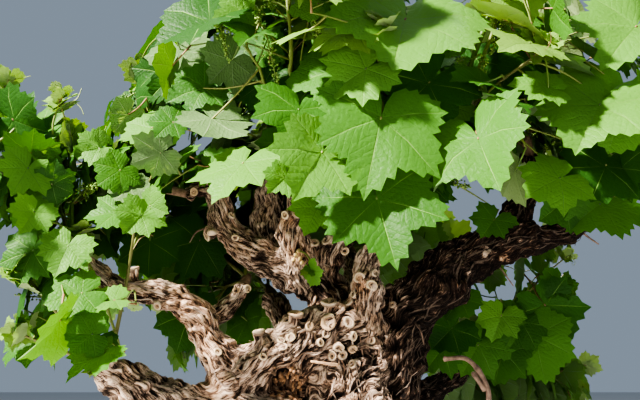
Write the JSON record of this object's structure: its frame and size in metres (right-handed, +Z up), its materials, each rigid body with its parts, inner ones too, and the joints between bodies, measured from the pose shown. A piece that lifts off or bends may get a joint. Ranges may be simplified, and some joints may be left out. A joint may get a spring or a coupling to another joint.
{
  "type": "old bush-trained grapevine",
  "caption": "Old grapevine trained as a bush: a thick gnarled trunk, twisting arms with pruned heads, and a crown of leafy green shoots, cut flat at ground level.",
  "frame": {"origin": "centre of the flat cut under the trunk, at ground level", "axes": "+Z up, -Y towards the side that the picture shows, +X to the right in it"},
  "size_m": [1.7984, 1.384, 1.3767],
  "materials": {
    "bark": "rough, stringy, deeply furrowed bark",
    "dry_cane": "smooth dead cane",
    "foliage": "soft leaves, a little glossy above and woolly below"
  },
  "bodies": {
    "root": {"trunk": "bark", "left_bough": "bark", "low_left_arm": "bark", "upper_left_arm": "bark", "outer_left_arm": "bark", "left_spur_arm": "bark", "right_bough": "bark", "right_arm": "bark", "outer_right_arm": "bark", "right_riser": "bark", "centre_bough": "bark", "crooked_arm": "bark", "crooked_head": "bark", "dark_head": "bark", "front_head": "bark", "short_head": "bark", "middle_head": "bark", "back_left_arm": "bark", "back_right_arm": "bark", "back_arm": "bark", "dead_cane": "dry_cane", "low_left_leaves": "foliage", "outer_left_leaves": "foliage", "left_spur_leaves": "foliage", "crooked_leaves": "foliage", "dark_head_leaves": "foliage", "front_head_leaves": "foliage", "short_head_leaves": "foliage", "middle_head_leaves": "foliage", "riser_leaves": "foliage", "outer_right_leaves": "foliage", "back_left_leaves": "foliage", "back_right_leaves": "foliage", "back_leaves": "foliage"}
  },
  "joints": []
}
